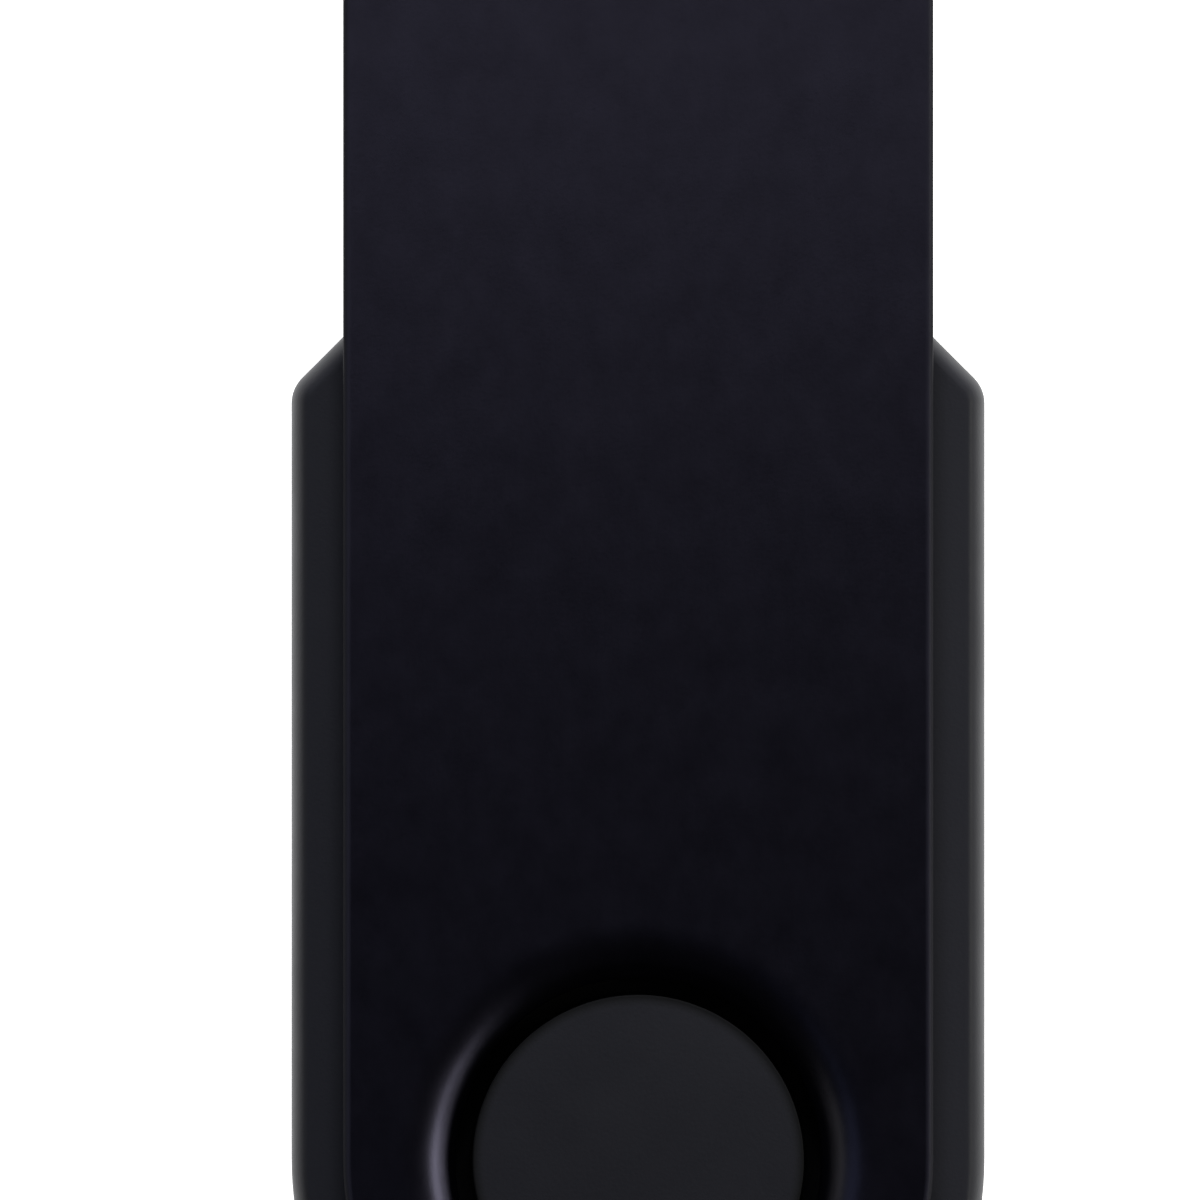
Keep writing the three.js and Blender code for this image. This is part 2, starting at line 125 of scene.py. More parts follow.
# ---------- mesh helpers ----------
def to_frame(x, y, z):
    """A point given in millimetres about the pivot, as metres in the frame."""
    return Vector((x, y, z)) * MM + PIVOT * MM


def mesh_object(name, points, faces):
    mesh = bpy.data.meshes.new(name)
    mesh.from_pydata([to_frame(*p) for p in points], [], faces)
    bm = bmesh.new()
    bm.from_mesh(mesh)
    bmesh.ops.remove_doubles(bm, verts=bm.verts, dist=1e-8)
    bmesh.ops.recalc_face_normals(bm, faces=bm.faces)
    bm.to_mesh(mesh)
    bm.free()
    piece = bpy.data.objects.new(name, mesh)
    bpy.context.scene.collection.objects.link(piece)
    return piece


def loft(name, rings, loop=False):
    """Skins rings of equal length. The two end rings are capped, or joined in a loop."""
    count = len(rings[0])
    points = [p for ring in rings for p in ring]
    faces = []
    last = len(rings) if loop else len(rings) - 1
    for k in range(last):
        here = k * count
        there = (k + 1) % len(rings) * count
        for i in range(count):
            j = (i + 1) % count
            faces.append((here + i, here + j, there + j, there + i))
    if not loop:
        faces.append(tuple(range(count)))
        faces.append(tuple(range(len(points) - count, len(points))))
    return mesh_object(name, points, faces)


def apply_modifier(piece, kind, **settings):
    modifier = piece.modifiers.new(kind.lower(), kind)
    for key, value in settings.items():
        setattr(modifier, key, value)
    depsgraph = bpy.context.evaluated_depsgraph_get()
    made = bpy.data.meshes.new_from_object(piece.evaluated_get(depsgraph))
    piece.modifiers.clear()
    old = piece.data
    piece.data = made
    bpy.data.meshes.remove(old)


def combine(piece, other, operation):
    """Joins other to piece, or cuts it out of it, and takes other away."""
    apply_modifier(piece, "BOOLEAN", object=other, operation=operation, solver="EXACT")
    bpy.data.objects.remove(other)


def smooth(piece, angle=32):
    """Smooth shading that breaks at edges sharper than the angle and keeps flat faces flat."""
    bm = bmesh.new()
    bm.from_mesh(piece.data)
    bmesh.ops.remove_doubles(bm, verts=bm.verts, dist=2e-8)
    bm.to_mesh(piece.data)
    bm.free()
    for polygon in piece.data.polygons:
        polygon.use_smooth = True
    piece.data.set_sharp_from_angle(angle=math.radians(angle))
    weighted = piece.modifiers.new("flat_faces", "WEIGHTED_NORMAL")
    weighted.keep_sharp = True
    weighted.weight = 100


def arc(centre, radius, start, end, steps):
    """Points of an arc in degrees, each with its outward normal."""
    found = []
    for i in range(steps + 1):
        a = math.radians(start + (end - start) * i / steps)
        normal = Vector((math.cos(a), math.sin(a)))
        found.append((Vector(centre) + radius * normal, normal))
    return found


def rounded_rectangle(low, high, radii, inset=0.0, steps=6):
    """Points of a rectangle with round corners, anticlockwise from the lower right one."""
    corners = [(high[0], low[1]), (high[0], high[1]), (low[0], high[1]), (low[0], low[1])]
    inward = [(-1, 1), (-1, -1), (1, -1), (1, 1)]
    points = []
    smallest_radius = 0.02
    for k in range(4):
        radius = max(radii[k] - inset, smallest_radius)
        centre = [corners[k][i] + inward[k][i] * (inset + radius) for i in (0, 1)]
        points += [p for p, _ in arc(centre, radius, 90 * k - 90, 90 * k, steps)]
    return points


# ---------- swivel clip ----------
def dish_profile():
    """Radii inwards from the flat with the face's drop at each, steeper and steeper to the hole."""
    steps = 26
    width = (DISH_RADIUS - HOLE_RADIUS - HOLE_LAND) / steps
    profile = [(DISH_RADIUS, 0.0)]
    for i in range(steps):
        share = (i + 0.5) / steps
        tilt = RIM_TILT * (share * share * (3 - 2 * share)) ** 1.5
        radius, drop = profile[-1]
        profile.append((radius - width, drop + width * math.tan(tilt)))
    profile.append((HOLE_RADIUS, profile[-1][1] + HOLE_LAND * math.tan(RIM_TILT)))
    return profile


def clip_border():
    """The border of the patch around the hole: half a square in front and half a circle behind."""
    steps = 16
    rear_steps = 64
    half = CLIP_HALF
    rise = [half * math.tan(math.radians(45) * i / steps) for i in range(steps)]
    rise += [half - EDGE_SUPPORT, half]
    border = [(half, y) for y in rise[:-1]]
    border += [(x, half) for x in rise[::-1]]
    border += [(-x, half) for x in rise[1:]]
    border += [(-half, y) for y in rise[-2::-1]]
    for i in range(1, rear_steps):
        a = math.pi + math.pi * i / rear_steps
        border.append((half * math.cos(a), half * math.sin(a)))
    side = len(rise) - 1
    return border, range(side, 3 * side + 1)


def fold_path():
    """Distances along Y and heights of the strip beyond the patch, over the top and back below."""
    arm_steps = 8
    bend_steps = 14
    bend = CLIP_END - FOLD_RADIUS
    arm = bend - CLIP_HALF
    path = [(CLIP_HALF + arm * i / arm_steps, HALF_THICKNESS) for i in range(1, arm_steps)]
    for p, _ in arc((bend, HALF_THICKNESS - FOLD_RADIUS), FOLD_RADIUS, 90, 0, bend_steps):
        path.append((p.x, p.y))
    below = [(y, -z) for y, z in reversed(path)]
    middle = [(CLIP_END, (HALF_THICKNESS - FOLD_RADIUS) * (1 - i / 2)) for i in (1, 2, 3)]
    return path + middle + below


def clip_sheet():
    """The outer skin of the folded sheet: a patch around each hole and the strip between them."""
    border, front = clip_border()
    count = len(border)
    angles = [math.atan2(y, x) for x, y in border]
    dish = dish_profile()[::-1]
    points = []
    faces = []
    for side in (1, -1):
        start = len(points)
        for radius, drop in dish:
            z = side * (HALF_THICKNESS - drop)
            points += [(radius * math.cos(a), radius * math.sin(a), z) for a in angles]
        for scale in (1 - EDGE_SUPPORT / CLIP_HALF, 1):
            points += [(x * scale, y * scale, side * HALF_THICKNESS) for x, y in border]
        for k in range(len(dish) + 1):
            for i in range(count):
                a = start + k * count + i
                b = start + k * count + (i + 1) % count
                faces.append((a, b, b + count, a + count))
    last_ring = (len(dish) + 1) * count
    patch = (len(dish) + 2) * count
    rows = [[last_ring + i for i in front]]
    for y, z in fold_path():
        rows.append(list(range(len(points), len(points) + len(front))))
        points += [(border[i][0], y, z) for i in front]
    rows.append([patch + last_ring + i for i in front])
    for here, there in zip(rows, rows[1:]):
        for i in range(len(front) - 1):
            faces.append((here[i], here[i + 1], there[i + 1], there[i]))
    return mesh_object("clip", points, faces)


def outward(piece, probe):
    """Turns every face of an open skin so that the one nearest the probe looks up."""
    nearest = min(piece.data.polygons, key=lambda f: (f.center - probe).length)
    if nearest.normal.z < 0:
        piece.data.flip_normals()


def make_clip():
    clip = clip_sheet()
    outward(clip, to_frame(0, CLIP_END / 2, HALF_THICKNESS))
    apply_modifier(
        clip,
        "SOLIDIFY",
        thickness=SHEET * MM,
        offset=-1,
        use_even_offset=True,
        use_quality_normals=True,
    )
    apply_modifier(
        clip,
        "BEVEL",
        width=CLIP_EDGE_ROUND * MM,
        segments=5,
        limit_method="ANGLE",
        angle_limit=math.radians(50),
        use_clamp_overlap=False,
    )
    smooth(clip, 40)
    return clip


# ---------- body shells ----------
def body_outline():
    """The body seen from above as points with outward normals, anticlockwise from the tail."""
    diagonal = 45
    end_steps = 40
    side_steps = 22
    shoulder_steps = 10
    fillet_steps = 6
    corner_steps = 8
    front_steps = 6
    tangent = SHOULDER_ROUND * math.tan(math.radians(diagonal / 2))
    side_top = SHOULDER_Y - tangent
    neck_start = SHOULDER_Y + BODY_HALF - NECK_HALF
    fillet_tangent = NECK_FILLET * math.tan(math.radians(diagonal / 2))
    right = arc((0, 0), BODY_HALF, -90, 0, end_steps)
    for i in range(1, side_steps):
        bearing = math.atan2(side_top, BODY_HALF) * i / side_steps
        right.append((Vector((BODY_HALF, BODY_HALF * math.tan(bearing))), Vector((1, 0))))
    shoulder = (BODY_HALF - SHOULDER_ROUND, side_top)
    right += arc(shoulder, SHOULDER_ROUND, 0, diagonal, shoulder_steps)
    centre = (NECK_HALF + NECK_FILLET, neck_start + fillet_tangent)
    for p, normal in arc(centre, NECK_FILLET, 180 + diagonal, 180, fillet_steps):
        right.append((p, -normal))
    corner = (NECK_HALF - NECK_CORNER, NECK_END - NECK_CORNER)
    right += arc(corner, NECK_CORNER, 0, 90, corner_steps)
    for i in range(1, front_steps + 1):
        right.append((Vector((corner[0] * (1 - i / front_steps), NECK_END)), Vector((0, 1))))
    mirrored = [(Vector((-p.x, p.y)), Vector((-n.x, n.y))) for p, n in reversed(right[1:-1])]
    return right + mirrored


def shell_rings():
    """Rings from the middle of the boss out over the top and down the side to the parting plane."""
    outline = body_outline()
    angles = [math.atan2(p.y, p.x) for p, _ in outline]
    boss_steps = 8
    edge_steps = 12
    side_steps = 5
    ease = 0.1
    fine_ease = 0.05
    lip = 0.03
    support = 0.35
    floor = BODY_TOP - GROOVE_DEPTH
    root = floor - ROOT_DEPTH
    profile = [(0.3, BOSS_TOP), (2.5, BOSS_TOP)]
    boss_corner = (BOSS_RADIUS - BOSS_ROUND, BOSS_TOP - BOSS_ROUND)
    profile += [tuple(p) for p, _ in arc(boss_corner, BOSS_ROUND, 90, 0, boss_steps)]
    profile += [(BOSS_RADIUS, root + ease), (BOSS_RADIUS + ease, root)]
    profile += [(ROOT_RADIUS - ease, root), (ROOT_RADIUS, root + ease)]
    profile += [(ROOT_RADIUS, floor - fine_ease), (ROOT_RADIUS + fine_ease, floor)]
    profile += [(GROOVE_RADIUS - ease, floor), (GROOVE_RADIUS, floor + ease)]
    profile += [(GROOVE_RADIUS, BODY_TOP - ease), (GROOVE_RADIUS + lip, BODY_TOP - lip)]
    profile += [(GROOVE_RADIUS + ease, BODY_TOP), (GROOVE_RADIUS + support, BODY_TOP)]
    rings = [[(r * math.cos(a), r * math.sin(a), h) for a in angles] for r, h in profile]
    edge = [(BODY_DRAFT + BODY_EDGE_IN + ease, BODY_TOP)]
    for p, _ in arc((0, 0), 1, 90, 0, edge_steps):
        inset = BODY_DRAFT + BODY_EDGE_IN * (1 - p.x)
        edge.append((inset, BODY_TOP - BODY_EDGE_DOWN * (1 - p.y)))
    for i in range(1, side_steps + 1):
        share = i / side_steps
        height = (BODY_TOP - BODY_EDGE_DOWN) * (1 - share) + SEAM * i / side_steps
        edge.append((BODY_DRAFT * (1 - share) ** 1.5, height))
    edge += [(SEAM * 0.35, SEAM * 0.3), (SEAM, 0)]
    for inset, height in edge:
        ring = [p - n * inset for p, n in outline]
        rings.append([(p.x, p.y, height) for p in ring])
    return rings


def upright_prism(name, outline, low, high):
    return loft(name, [[(p[0], p[1], z) for p in outline] for z in (low, high)])


def pocket(half, front, depth):
    """A round-backed pocket from below the parting plane to a depth in the shell."""
    steps = 48
    back = [p for p, _ in arc((0, 0), half, 180, 360, steps)]
    return upright_prism("pocket", back + [(half, front), (-half, front)], -1, depth)


def box_outline(x0, x1, y0, y1):
    return [(x0, y0), (x1, y0), (x1, y1), (x0, y1)]


def plug_mouth():
    """The plug's way out of the neck, with a small lead-in at its lip."""
    rings = []
    clearance = 0.05
    corner = 0.5
    for y, extra in ((PLUG_BACK, 0), (NECK_END - 0.25, 0), (NECK_END + 0.05, 0.3)):
        half_x = PLUG_HALF.x + clearance + extra
        half_z = PLUG_HALF.y + clearance + extra
        section = rounded_rectangle((-half_x, -half_z), (half_x, half_z), [corner + extra] * 4)
        rings.append([(p.x, y, p.y) for p in section])
    return loft("mouth", rings)


def lanyard_loop():
    """Half of the loop at the tail, above the parting plane, open through its slot."""
    corners = [LOOP_FAR_CORNER, LOOP_NEAR_CORNER, LOOP_NEAR_CORNER, LOOP_FAR_CORNER]
    low, high = (-LOOP_HALF, -LOOP_END), (LOOP_HALF, -LOOP_BASE)
    hole_low, hole_high = (-LOOP_HOLE_HALF, LOOP_HOLE[0]), (LOOP_HOLE_HALF, LOOP_HOLE[1])
    shelf = LOOP_HALF_THICKNESS - LOOP_EDGE
    steps = 6
    rings = []

    def outer(inset, height):
        points = rounded_rectangle(low, high, corners, inset)
        rings.append([(p.x, p.y, height) for p in points])

    def inner(growth, height):
        points = rounded_rectangle(hole_low, hole_high, [LOOP_HOLE_CORNER] * 4, -growth)
        rings.append([(p.x, p.y, height) for p in points])

    inner(SEAM, 0)
    inner(0, SEAM)
    for p, _ in arc((LOOP_EDGE, shelf), LOOP_EDGE, 180, 90, steps):
        inner(p.x, p.y)
    for p, _ in arc((0, shelf), LOOP_EDGE, 90, 0, steps):
        outer(LOOP_EDGE - p.x, p.y)
    outer(0, SEAM)
    outer(SEAM, 0)
    return loft("loop", rings, loop=True)


def make_shell(name, pockets, upside_down):
    """One shell: its skin and loop, with the pockets and the plug's mouth cut out of it."""
    shell = loft(name, shell_rings())
    combine(shell, lanyard_loop(), "UNION")
    back, front = BOARD_SHOULDER - CUT_OVERLAP, NECK_END - NECK_WALL
    outline = box_outline(-NECK_ROOM_HALF, NECK_ROOM_HALF, back, front)
    room = upright_prism("room", outline, -1, NECK_ROOM_HEIGHT)
    for cutter in [*pockets, room, plug_mouth()]:
        combine(shell, cutter, "DIFFERENCE")
    if upside_down:
        for vertex in shell.data.vertices:
            vertex.co.z = 2 * PIVOT.z * MM - vertex.co.z
        shell.data.flip_normals()
    smooth(shell)
    return shell


# ---------- plug ----------
def plug_section(inset, y):
    """A ring around the plug at a depth into its wall."""
    low = (-PLUG_HALF.x + inset, -PLUG_HALF.y + inset)
    high = (PLUG_HALF.x - inset, PLUG_HALF.y - inset)
    radius = PLUG_CORNER - inset * 0.8
    return [(p.x, y, p.y) for p in rounded_rectangle(low, high, [radius] * 4)]


def latch_window(x):
    """A square hole through both walls, a little wider at the outer faces."""
    lead = 0.06
    levels = [(-3, 0.1), (-PLUG_HALF.y, lead), (-PLUG_HALF.y + lead, 0)]
    levels += [(-z, extra) for z, extra in reversed(levels)]
    rings = []
    for z, extra in levels:
        half = WINDOW_HALF + extra
        low = (x - half, WINDOW_CENTRE.y - half)
        high = (x + half, WINDOW_CENTRE.y + half)
        rings.append([(p.x, p.y, z) for p in rounded_rectangle(low, high, [WINDOW_CORNER] * 4)])
    return loft("window", rings)


def ribbon(line, half_width):
    """The outline of a line drawn with a width, mitred at its corners."""
    sharpest_mitre = 0.2
    left, right = [], []
    for i, point in enumerate(line):
        ahead = (line[min(i + 1, len(line) - 1)] - point).normalized()
        behind = (point - line[max(i - 1, 0)]).normalized()
        along = (ahead + behind).normalized()
        reach = half_width / max(along.dot(ahead or behind), sharpest_mitre)
        across = Vector((-along.y, along.x)) * reach
        left.append(point + across)
        right.append(point - across)
    return right + left[::-1]


def plug_seam():
    """The slit where the folded sheet meets itself, with a dovetail half way along."""
    near = 0.7
    far = 0.9
    depth = 0.9
    corners = [(0, PLUG_BACK - 1), (0, DOVETAIL_Y - near), (-depth, DOVETAIL_Y - far)]
    corners += [(-depth, DOVETAIL_Y + far), (0, DOVETAIL_Y + near), (0, PLUG_TIP + 1)]
    outline = ribbon([Vector(corner) for corner in corners], SLIT_HALF)
    below = -PLUG_HALF.y - 0.2
    return upright_prism("seam", outline, below, -PLUG_HALF.y + PLUG_WALL + CUT_OVERLAP)


def make_plug_shell():
    wall = PLUG_WALL
    tip = PLUG_TIP
    profile = [(wall, PLUG_BACK), (wall, tip - 0.2), (wall - 0.03, tip - 0.08), (wall - 0.1, tip)]
    profile += [(0.14, tip), (0.07, tip - 0.03), (0.03, tip - 0.08), (0.0, tip - 0.18)]
    profile += [(0.0, PLUG_BACK + 0.04), (0.04, PLUG_BACK)]
    shell = loft("plug_housing", [plug_section(*step) for step in profile], loop=True)
    for x in (-WINDOW_CENTRE.x, WINDOW_CENTRE.x):
        combine(shell, latch_window(x), "DIFFERENCE")
    combine(shell, plug_seam(), "DIFFERENCE")
    for side in (-1, 1):
        x = side * (PLUG_HALF.x - wall / 2)
        outline = box_outline(x - wall / 2, x + wall / 2, PLUG_LOW.y - PIVOT.y, PLUG_BACK + 0.5)
        combine(shell, upright_prism("leg", outline, *LEG_HEIGHTS), "UNION")
    smooth(shell)
    return shell


def fine_copy(node, width):
    """A copy of a CAD node with its flat faces merged and its edges rounded."""
    source = frame["nodes"][node]
    mesh = source.data.copy()
    bm = bmesh.new()
    bm.from_mesh(mesh)
    bmesh.ops.remove_doubles(bm, verts=bm.verts, dist=1e-7)
    bmesh.ops.dissolve_limit(
        bm,
        angle_limit=math.radians(1),
        verts=bm.verts,
        edges=bm.edges,
        use_dissolve_boundaries=False,
    )
    bm.to_mesh(mesh)
    bm.free()
    mesh.materials.clear()
    piece = bpy.data.objects.new(node + "_fine", mesh)
    bpy.context.scene.collection.objects.link(piece)
    apply_modifier(
        piece,
        "BEVEL",
        width=width * MM,
        segments=2,
        limit_method="ANGLE",
        angle_limit=math.radians(40),
        use_clamp_overlap=True,
    )
    smooth(piece)
    return piece


# ---------- materials ----------
MIX_COLOUR_A = 6
MIX_COLOUR_B = 7
MIX_COLOUR_OUT = 2


class Finish:
    """A Principled material with its texture nodes, laid out in millimetres."""

    def __init__(self, name, metallic=0.0, specular=0.5, coat=0.0, coat_roughness=0.1):
        self.material = bpy.data.materials.new(name)
        self.material.use_nodes = True
        self.tree = self.material.node_tree
        self.shader = self.tree.nodes["Principled BSDF"]
        self.shader.inputs["Metallic"].default_value = metallic
        self.shader.inputs["Specular IOR Level"].default_value = specular
        self.shader.inputs["Coat Weight"].default_value = coat
        self.shader.inputs["Coat Roughness"].default_value = coat_roughness
        coordinates = self.tree.nodes.new("ShaderNodeTexCoord")
        scale = self.tree.nodes.new("ShaderNodeVectorMath")
        scale.operation = "SCALE"
        scale.inputs["Scale"].default_value = 1 / MM
        self.link(coordinates.outputs["Object"], scale.inputs[0])
        self.place = scale.outputs["Vector"]

    def link(self, source, target):
        self.tree.links.new(source, target)

    def noise(self, size, detail=3.0, roughness=0.55, stretch=(1, 1, 1), offset=0.0):
        """Noise whose features are about size millimetres across, from 0 to 1."""
        mapping = self.tree.nodes.new("ShaderNodeMapping")
        mapping.inputs["Scale"].default_value = [s / size for s in stretch]
        mapping.inputs["Location"].default_value = (offset, offset, offset)
        self.link(self.place, mapping.inputs["Vector"])
        node = self.tree.nodes.new("ShaderNodeTexNoise")
        node.inputs["Scale"].default_value = 1.0
        node.inputs["Detail"].default_value = detail
        node.inputs["Roughness"].default_value = roughness
        self.link(mapping.outputs["Vector"], node.inputs["Vector"])
        return node.outputs["Fac"]

    def cells(self, size):
        """Distance to the nearest of scattered points about size millimetres apart."""
        node = self.tree.nodes.new("ShaderNodeTexVoronoi")
        node.inputs["Scale"].default_value = 1 / size
        self.link(self.place, node.inputs["Vector"])
        return node.outputs["Distance"]

    def spread(self, value, low, high, to_low=0.0, to_high=1.0):
        """Maps low..high to to_low..to_high, clamped."""
        node = self.tree.nodes.new("ShaderNodeMapRange")
        node.inputs["From Min"].default_value = low
        node.inputs["From Max"].default_value = high
        node.inputs["To Min"].default_value = to_low
        node.inputs["To Max"].default_value = to_high
        self.link(value, node.inputs["Value"])
        return node.outputs["Result"]

    def combine(self, operation, a, b):
        node = self.tree.nodes.new("ShaderNodeMath")
        node.operation = operation
        for value, socket in ((a, node.inputs[0]), (b, node.inputs[1])):
            if isinstance(value, (int, float)):
                socket.default_value = value
            else:
                self.link(value, socket)
        return node.outputs["Value"]

    def blend(self, share, colour_a, colour_b):
        """Colour a where share is 0, and b where it is 1."""
        node = self.tree.nodes.new("ShaderNodeMix")
        node.data_type = "RGBA"
        self.link(share, node.inputs["Factor"])
        for value, index in ((colour_a, MIX_COLOUR_A), (colour_b, MIX_COLOUR_B)):
            socket = node.inputs[index]
            if isinstance(value, tuple):
                socket.default_value = (*value, 1)
            else:
                self.link(value, socket)
        return node.outputs[MIX_COLOUR_OUT]

    def axis(self, name):
        separate = self.tree.nodes.new("ShaderNodeSeparateXYZ")
        self.link(self.place, separate.inputs["Vector"])
        return separate.outputs[name]

    def length(self, x, y):
        squares = [self.combine("MULTIPLY", side, side) for side in (x, y)]
        return self.combine("SQRT", self.combine("ADD", *squares), 0.0)

    def reach(self):
        """Distance from the drive's centre line, or from the swivel axis behind it."""
        ahead = self.combine("SUBTRACT", self.axis("Y"), PIVOT.y)
        return self.length(self.axis("X"), self.combine("MINIMUM", ahead, 0.0))

    def radius(self):
        """Distance from the swivel axis."""
        return self.length(self.axis("X"), self.combine("SUBTRACT", self.axis("Y"), PIVOT.y))

    def colour(self, value):
        self.link(value, self.shader.inputs["Base Color"])

    def roughness(self, value):
        self.link(value, self.shader.inputs["Roughness"])

    def metallic(self, value):
        self.link(value, self.shader.inputs["Metallic"])

    def bump(self, *layers):
        """Layers of (height value, height in millimetres at 1), one on another."""
        previous = None
        for height, depth in layers:
            node = self.tree.nodes.new("ShaderNodeBump")
            node.inputs["Strength"].default_value = 1.0
            node.inputs["Distance"].default_value = depth * MM
            self.link(height, node.inputs["Height"])
            if previous:
                self.link(previous, node.inputs["Normal"])
            previous = node.outputs["Normal"]
        self.link(previous, self.shader.inputs["Normal"])


def clip_coating():
    """Satin black coating with a blue cast, mottled and faintly lined, with painted shade along its
    long edges, which are also dull.
    """
    finish = Finish("clip_coating", metallic=1.0, specular=0.05)
    mottle = finish.noise(1.3, detail=5, roughness=0.62, stretch=(1.15, 0.8, 1.0))
    grain = finish.noise(0.11, detail=2)
    rolled = finish.noise(0.35, detail=2, stretch=(2.6, 0.3, 1.0))
    dark, light = (0.0188, 0.0179, 0.0272), (0.0240, 0.0228, 0.0346)
    tone = finish.blend(finish.spread(mottle, 0.3, 0.7), dark, light)
    # Painted shade: along the long edges the colour turns darker and stops being metallic, which
    # hides the bevel's highlight. The roughness rises there too.
    edge = finish.spread(finish.reach(), CLIP_HALF - 0.22, CLIP_HALF - 0.04)
    finish.colour(finish.blend(edge, tone, (0.0085, 0.0083, 0.0110)))
    finish.metallic(finish.combine("SUBTRACT", 1.0, edge))
    rough = finish.spread(mottle, 0.3, 0.7, 0.314, 0.336)
    finish.roughness(finish.combine("ADD", rough, finish.combine("MULTIPLY", edge, 0.22)))
    finish.bump((grain, 0.0022), (rolled, 0.0010))
    return finish.material


def case_plastic():
    """Moulded black plastic with a spark-eroded grain, painted shade around the boss, and painted
    light on the top beyond the groove.
    """
    finish = Finish("case_plastic", specular=0.12)
    grain = finish.noise(0.06, detail=3, roughness=0.6)
    pits = finish.cells(0.11)
    wide = finish.noise(3.4, detail=3)
    dark, light = (0.0079, 0.0078, 0.0104), (0.0091, 0.0090, 0.0119)
    tone = finish.blend(finish.spread(wide, 0.3, 0.7), dark, light)
    rough = finish.spread(wide, 0.3, 0.7, 0.48, 0.56)
    radius = finish.radius()
    # Painted shade: near black from the boss's rim out over the gap and the groove, where little
    # light reaches. It is rougher there too.
    boss_rim_shade = finish.spread(radius, BOSS_RADIUS - 0.30, BOSS_RADIUS - 0.03)
    # Painted light: the top beyond the groove is lighter than the boss's top. The same mask also
    # ends the rougher band.
    painted_light_top = finish.spread(radius, GROOVE_RADIUS, GROOVE_RADIUS + 0.1)
    rim_shaded_tone = finish.blend(boss_rim_shade, tone, (0.0012, 0.0012, 0.0015))
    finish.colour(finish.blend(painted_light_top, rim_shaded_tone, (0.0118, 0.0118, 0.0151)))
    dulled = finish.combine("MULTIPLY", finish.combine("SUBTRACT", boss_rim_shade, painted_light_top), 0.36)
    finish.roughness(finish.combine("ADD", rough, dulled))
    finish.bump((grain, 0.0035), (pits, 0.0022))
    return finish.material


def plated_steel():
    """Nickel plated sheet with drawing lines along the plug and scuffs from being plugged in."""
    finish = Finish("plated_steel", metallic=1.0)
    drawn = finish.noise(0.09, detail=3, stretch=(1.0, 0.03, 1.0))
    clouds = finish.noise(1.8, detail=4)
    scuffs = finish.noise(0.30, detail=2, stretch=(1.0, 0.06, 1.0), offset=7.0)
    marks = finish.spread(scuffs, 0.56, 0.80)
    dark, light = (0.37, 0.37, 0.38), (0.45, 0.45, 0.455)
    tone = finish.blend(finish.spread(clouds, 0.3, 0.7), dark, light)
    tone = finish.blend(finish.spread(drawn, 0.35, 0.75, 0, 0.5), tone, (0.34, 0.34, 0.35))
    finish.colour(finish.blend(finish.combine("MULTIPLY", marks, 0.15), tone, (0.27, 0.27, 0.28)))
    hazy = finish.spread(clouds, 0.3, 0.7, 0.255, 0.285)
    lined = finish.spread(drawn, 0.3, 0.7, 0, 0.03)
    rough = finish.combine("ADD", hazy, lined)
    finish.roughness(finish.combine("ADD", rough, finish.combine("MULTIPLY", marks, 0.03)))
    finish.bump((drawn, 0.0006), (clouds, 0.0015))
    return finish.material


def insulator_plastic():
    """Glass filled black nylon: fine speckle and a dull surface."""
    finish = Finish("insulator_plastic", specular=0.4)
    speckle = finish.noise(0.05, detail=2)
    flow = finish.noise(0.9, detail=3, stretch=(1.0, 0.35, 1.0))
    dark, light = (0.009, 0.009, 0.010), (0.022, 0.022, 0.023)
    tone = finish.blend(finish.spread(speckle, 0.35, 0.75), dark, light)
    finish.colour(finish.blend(finish.spread(flow, 0.4, 0.8, 0, 0.5), tone, (0.015, 0.015, 0.017)))
    finish.roughness(finish.spread(flow, 0.3, 0.7, 0.48, 0.62))
    finish.bump((speckle, 0.004), (flow, 0.004))
    return finish.material


def contact_gold():
    """Thin gold over nickel, with rub lines along the contact."""
    finish = Finish("contact_gold", metallic=1.0)
    lines = finish.noise(0.07, detail=3, stretch=(1.0, 0.04, 1.0))
    stain = finish.noise(0.8, detail=3)
    dark, light = (0.78, 0.52, 0.18), (0.86, 0.62, 0.27)
    tone = finish.blend(finish.spread(stain, 0.3, 0.7), dark, light)
    rubbed = finish.spread(lines, 0.62, 0.75, 0, 0.35)
    finish.colour(finish.blend(rubbed, tone, (0.66, 0.58, 0.42)))
    finish.roughness(finish.spread(lines, 0.3, 0.7, 0.18, 0.32))
    finish.bump((lines, 0.0015))
    return finish.material


def solder_mask():
    """Green solder mask over the weave of the laminate, with raised tracks below it."""
    finish = Finish("solder_mask", specular=0.5, coat=0.4, coat_roughness=0.15)
    weave = finish.noise(0.4, detail=2, stretch=(1.0, 0.3, 1.0))
    tracks = finish.cells(1.3)
    on_track = finish.spread(tracks, 0.36, 0.42)
    dark, light = (0.008, 0.052, 0.020), (0.012, 0.066, 0.026)
    tone = finish.blend(finish.spread(weave, 0.3, 0.7), dark, light)
    finish.colour(finish.blend(on_track, tone, (0.016, 0.098, 0.036)))
    finish.roughness(finish.spread(weave, 0.3, 0.7, 0.30, 0.42))
    finish.bump((on_track, 0.02), (weave, 0.004))
    return finish.material


def speckled(name, dark, light, size, rough, metallic=0.0):
    """A plain material of one kind of stuff, with its own grain."""
    finish = Finish(name, metallic=metallic)
    grain = finish.noise(size, detail=3)
    wide = finish.noise(size * 9, detail=2, offset=3.0)
    tone = finish.blend(finish.spread(grain, 0.35, 0.7), dark, light)
    finish.colour(finish.blend(finish.spread(wide, 0.4, 0.9, 0, 0.5), tone, dark))
    finish.roughness(finish.spread(wide, 0.3, 0.7, rough - 0.05, rough + 0.06))
    finish.bump((grain, 0.004))
    return finish.material


